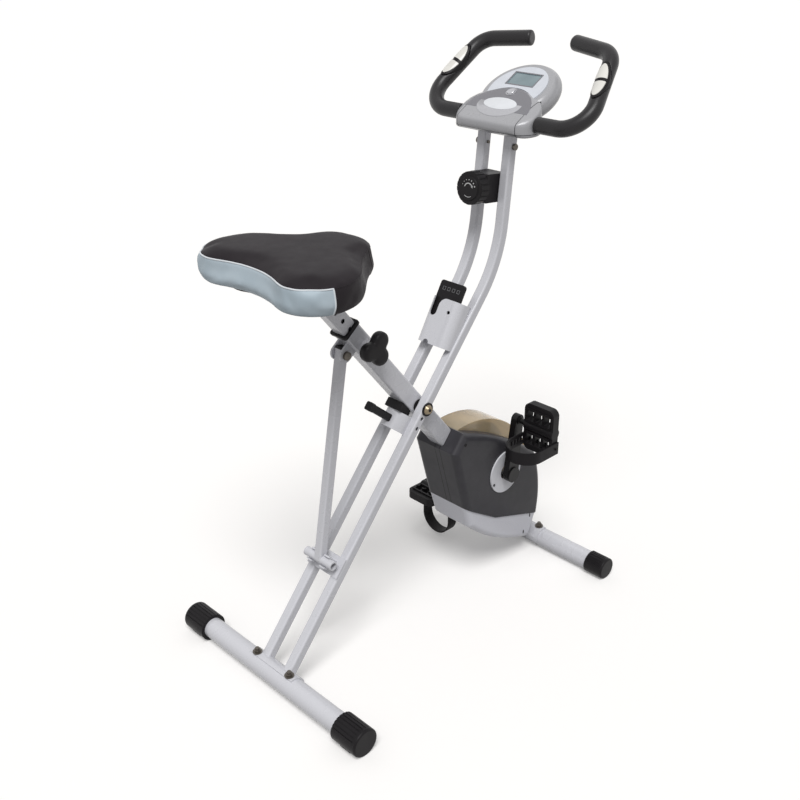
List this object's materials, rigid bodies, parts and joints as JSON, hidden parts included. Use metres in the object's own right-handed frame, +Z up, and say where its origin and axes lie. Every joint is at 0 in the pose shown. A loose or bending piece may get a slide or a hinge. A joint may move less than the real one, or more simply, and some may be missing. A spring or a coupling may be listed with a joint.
{
  "type": "exercise_bike",
  "caption": "Folding upright exercise bike: twin silver posts, belt-driven flywheel in a dark housing, wide padded seat, foam-gripped handlebar and round console",
  "frame": {"origin": "on the floor under the middle of the whole bike, in its mirror plane", "axes": "+X toward the handlebar and flywheel end, +Y to the rider's left, +Z up"},
  "size_m": [0.79, 0.514, 1.125],
  "materials": {
    "silver_paint": "silver lacquer on steel tube",
    "black_plastic": "black moulded plastic",
    "foam": "closed-cell foam sleeve",
    "black_rubber": "black rubber",
    "housing_dark": "charcoal moulded cover",
    "housing_silver": "silver sprayed cover",
    "console_silver": "silver sprayed console",
    "console_face": "pale faceplate",
    "lcd_glass": "grey display window",
    "seat_vinyl": "padded vinyl over foam",
    "bare_steel": "bare bright steel",
    "flywheel_iron": "cast wheel",
    "white_plastic": "white plastic disc",
    "smoked_cover": "smoked clear cover",
    "bolt_brass": "yellow passivated bolts",
    "seat_pan_plastic": "pale seat shell",
    "pulse_pale": "pale sensor plates",
    "black_paint": "black lacquer on forged steel"
  },
  "bodies": {
    "post_frame": {"post_tube_right": "silver_paint", "post_tube_left": "silver_paint", "rear_foot_plate": "silver_paint", "rear_stabilizer": "silver_paint", "rear_cap_right": "black_plastic", "rear_cap_left": "black_plastic", "frame_bolts": "bolt_brass", "strut_cradle": "silver_paint", "stop_bracket": "silver_paint", "stop_bumper": "black_rubber", "holder_bracket": "silver_paint", "bracket_insert": "black_plastic", "pivot_bolt": "bolt_brass", "pivot_washers": "black_plastic", "tension_mount": "black_plastic", "head_bracket": "silver_paint", "handlebar": "silver_paint", "grip_right": "foam", "grip_left": "foam", "pulse_housings": "black_plastic", "pulse_plates": "pulse_pale", "console_base": "console_silver", "console_body": "console_silver", "console_face": "console_face", "lcd_window": "lcd_glass"},
    "console_button": {"console_button": "bare_steel"},
    "tension_knob": {"tension_knob": "black_plastic"},
    "lock_pin": {"lock_pin": "black_plastic"},
    "roller_right": {"roller_right": "black_plastic"},
    "roller_left": {"roller_left": "black_plastic"},
    "main_frame": {"main_tube": "silver_paint", "tube_collar": "black_plastic", "main_bolts": "bolt_brass", "front_stabilizer": "silver_paint", "front_cap_right": "black_plastic", "front_cap_left": "black_plastic", "housing_right": "housing_dark", "housing_left": "housing_dark", "housing_skirt": "housing_silver", "flywheel_cover": "smoked_cover", "crank_discs": "white_plastic", "bottom_bearings": "bare_steel", "drive_belt": "black_rubber"},
    "crank": {"crank_axle": "bare_steel", "crank_arm_right": "black_paint", "crank_arm_left": "black_paint", "drive_pulley": "black_plastic"},
    "flywheel": {"flywheel": "flywheel_iron"},
    "magnet_arm": {"magnet_arm": "bare_steel"},
    "pedal_right": {"pedal_right": "black_plastic", "pedal_strap_right": "black_rubber"},
    "pedal_left": {"pedal_left": "black_plastic", "pedal_strap_left": "black_rubber"},
    "strut": {"strut_tube": "silver_paint", "strut_plugs": "black_plastic"},
    "seat": {"seat_post": "bare_steel", "seat_pan": "seat_pan_plastic", "seat_cushion": "seat_vinyl"},
    "seat_pin": {"seat_pin": "bare_steel"},
    "seat_knob": {"seat_knob": "black_plastic"}
  },
  "joints": [
    {"name": "fold", "type": "hinge", "parent": "post_frame", "child": "main_frame", "pos_m": [0, 0, 0.474], "axis": [0, 1, 0], "range_deg": [0, 38]},
    {"name": "crank_turn", "type": "hinge", "parent": "main_frame", "child": "crank", "pos_m": [0.22524, 0, 0.25528], "axis": [0, 1, 0], "continuous": true},
    {"name": "flywheel_turn", "type": "hinge", "parent": "main_frame", "child": "flywheel", "pos_m": [0.28491, 0, 0.17488], "axis": [0, 1, 0], "continuous": true},
    {"name": "magnet_swing", "type": "hinge", "parent": "main_frame", "child": "magnet_arm", "pos_m": [0.22242, -0.034, 0.19763], "axis": [0, 1, 0], "range_deg": [0, 5]},
    {"name": "pedal_right_spin", "type": "hinge", "parent": "crank", "child": "pedal_right", "pos_m": [0.23831, -0.135, 0.3796], "axis": [0, 1, 0], "continuous": true},
    {"name": "pedal_left_spin", "type": "hinge", "parent": "crank", "child": "pedal_left", "pos_m": [0.21217, 0.135, 0.13097], "axis": [0, 1, 0], "continuous": true},
    {"name": "strut_swing", "type": "hinge", "parent": "main_frame", "child": "strut", "pos_m": [-0.1766, 0, 0.63043], "axis": [0, 1, 0], "range_deg": [0, 45]},
    {"name": "seat_slide", "type": "slide", "parent": "main_frame", "child": "seat", "axis": [-0.6353, 0, 0.7723], "range_m": [-0.06, 0.05]},
    {"name": "seat_pin_pull", "type": "slide", "parent": "main_frame", "child": "seat_pin", "axis": [0, -1, 0], "range_m": [0, 0.01], "stiffness_N_per_m": 1500},
    {"name": "seat_knob_turn", "type": "hinge", "parent": "seat_pin", "child": "seat_knob", "pos_m": [-0.13659, -0.06, 0.64004], "axis": [0, -1, 0], "continuous": true},
    {"name": "lock_pin_pull", "type": "slide", "parent": "post_frame", "child": "lock_pin", "axis": [-0.7729, 0, 0.6346], "range_m": [0, 0.015], "stiffness_N_per_m": 1500},
    {"name": "tension_turn", "type": "hinge", "parent": "post_frame", "child": "tension_knob", "pos_m": [0.17136, 0, 0.86423], "axis": [-0.9956, 0, 0.0941], "range_deg": [0, 270]},
    {"name": "button_press", "type": "slide", "parent": "post_frame", "child": "console_button", "axis": [0.5, 0, -0.866], "range_m": [0, 0.0015], "stiffness_N_per_m": 400},
    {"name": "roller_right_spin", "type": "hinge", "parent": "post_frame", "child": "roller_right", "pos_m": [-0.3822, -0.226, 0.0118], "axis": [0, 1, 0], "continuous": true},
    {"name": "roller_left_spin", "type": "hinge", "parent": "post_frame", "child": "roller_left", "pos_m": [-0.3822, 0.226, 0.0118], "axis": [0, 1, 0], "continuous": true}
  ],
  "couplings": [
    {"joint": "flywheel_turn", "follows": "crank_turn", "ratio": 5.3333},
    {"joint": "magnet_swing", "follows": "tension_turn", "ratio": 0.0185}
  ]
}
